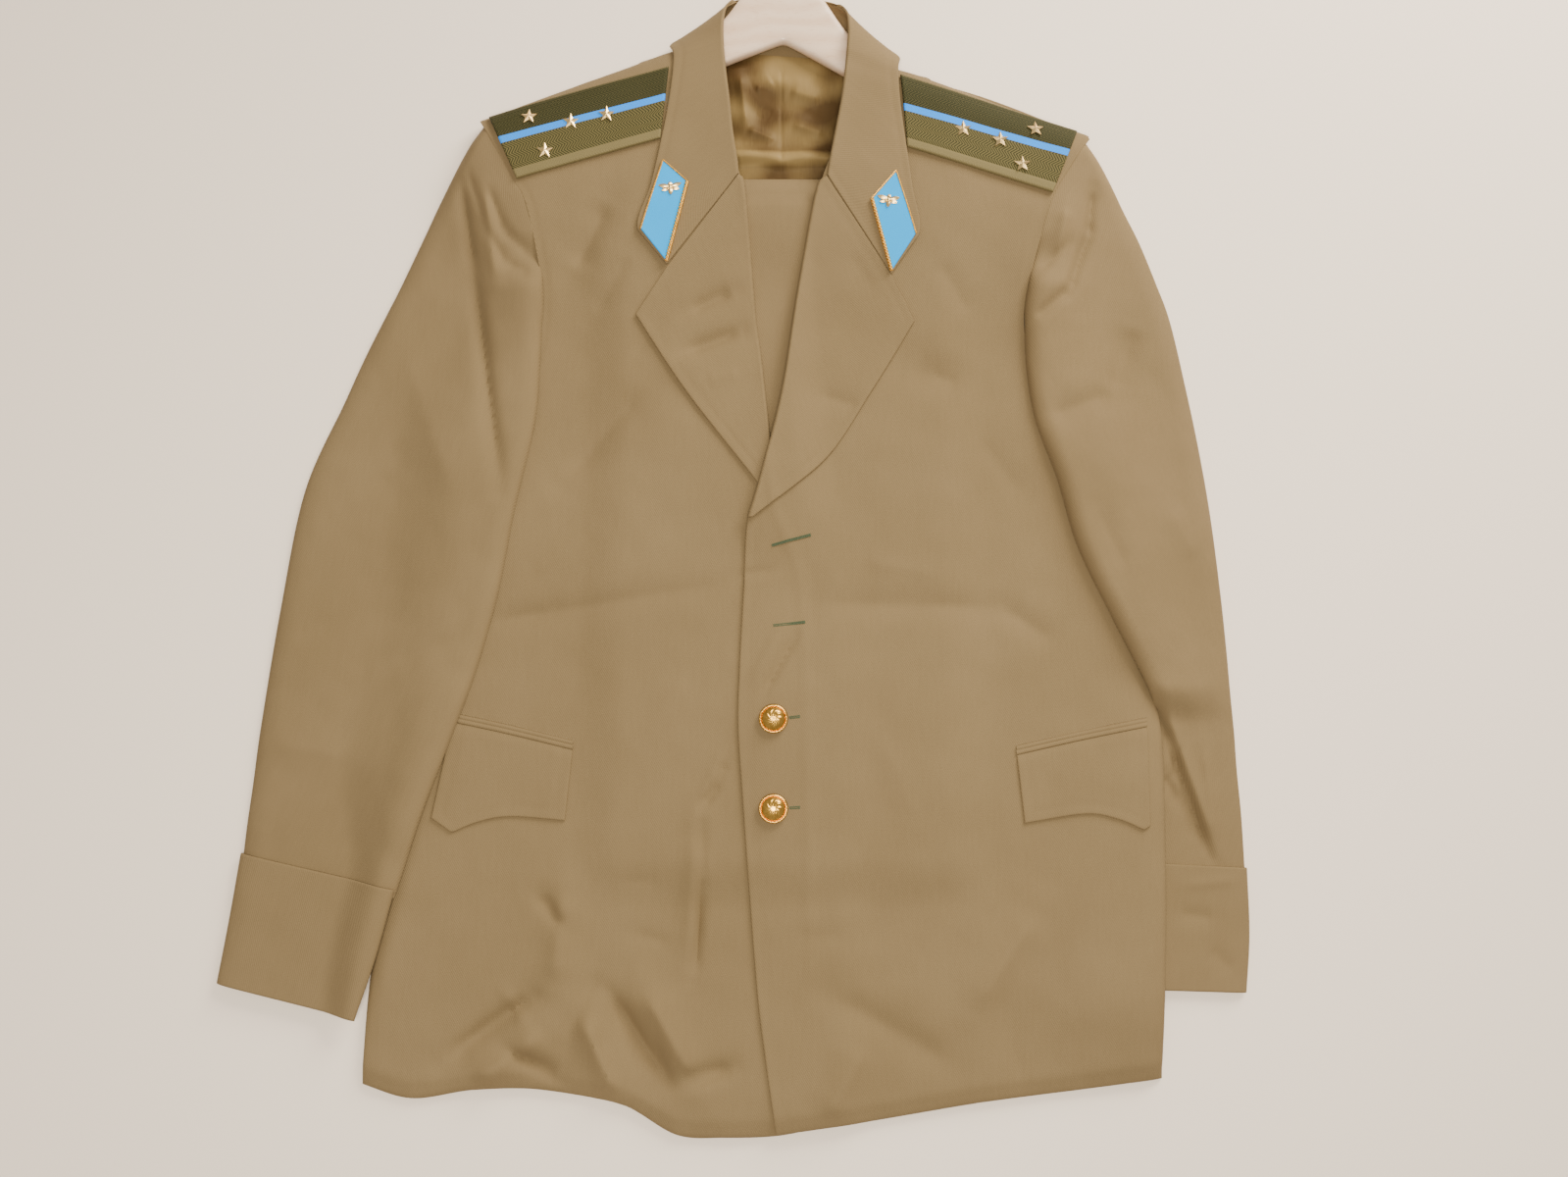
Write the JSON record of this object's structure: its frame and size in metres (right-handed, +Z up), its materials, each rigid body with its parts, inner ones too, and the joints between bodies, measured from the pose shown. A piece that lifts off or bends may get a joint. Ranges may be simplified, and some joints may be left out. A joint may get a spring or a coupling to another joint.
{
  "type": "military dress tunic with trousers laid flat on a wooden hanger",
  "caption": "Khaki wool dress tunic with braided shoulder boards, blue collar tabs and gilt buttons, laid flat on a wooden hanger with its trousers folded over the bar.",
  "frame": {"origin": "middle of the laid garment's footprint, on the surface that it lies on", "axes": "+Z up from the surface, +Y from the hem towards the collar and the hook, +X to the right of someone looking down at the front of the tunic"},
  "size_m": [0.7723, 0.974, 0.0334],
  "materials": {
    "khaki_cloth": "wool gabardine",
    "satin_lining": "satin",
    "olive_braid": "woven braid",
    "blue_cloth": "felted wool",
    "gilt_metal": "polished gilt",
    "beech_wood": "clear lacquer",
    "steel_rod": "satin"
  },
  "bodies": {
    "root": {"back": "khaki_cloth", "button_1": "gilt_metal", "button_2": "gilt_metal", "collar": "khaki_cloth", "collar_stand": "khaki_cloth", "collar_tab_left": "blue_cloth", "collar_tab_right": "blue_cloth", "cuff_left": "khaki_cloth", "cuff_right": "khaki_cloth", "front_left": "khaki_cloth", "front_right": "khaki_cloth", "hanger": "beech_wood", "hanger_bar": "steel_rod", "hanger_hook": "steel_rod", "lapel_left": "khaki_cloth", "lapel_right": "khaki_cloth", "neck_lining": "satin_lining", "pocket_flap_left": "khaki_cloth", "pocket_flap_right": "khaki_cloth", "pocket_welt_left": "khaki_cloth", "pocket_welt_right": "khaki_cloth", "shoulder_board_left": "olive_braid", "shoulder_board_right": "olive_braid", "sleeve_left_top": "khaki_cloth", "sleeve_left_under": "khaki_cloth", "sleeve_right_top": "khaki_cloth", "sleeve_right_under": "khaki_cloth", "star_left_1": "gilt_metal", "star_left_2": "gilt_metal", "star_left_3": "gilt_metal", "star_left_4": "gilt_metal", "star_right_1": "gilt_metal", "star_right_2": "gilt_metal", "star_right_3": "gilt_metal", "star_right_4": "gilt_metal", "tab_emblem_left": "gilt_metal", "tab_emblem_right": "gilt_metal", "trousers": "khaki_cloth"}
  },
  "joints": []
}
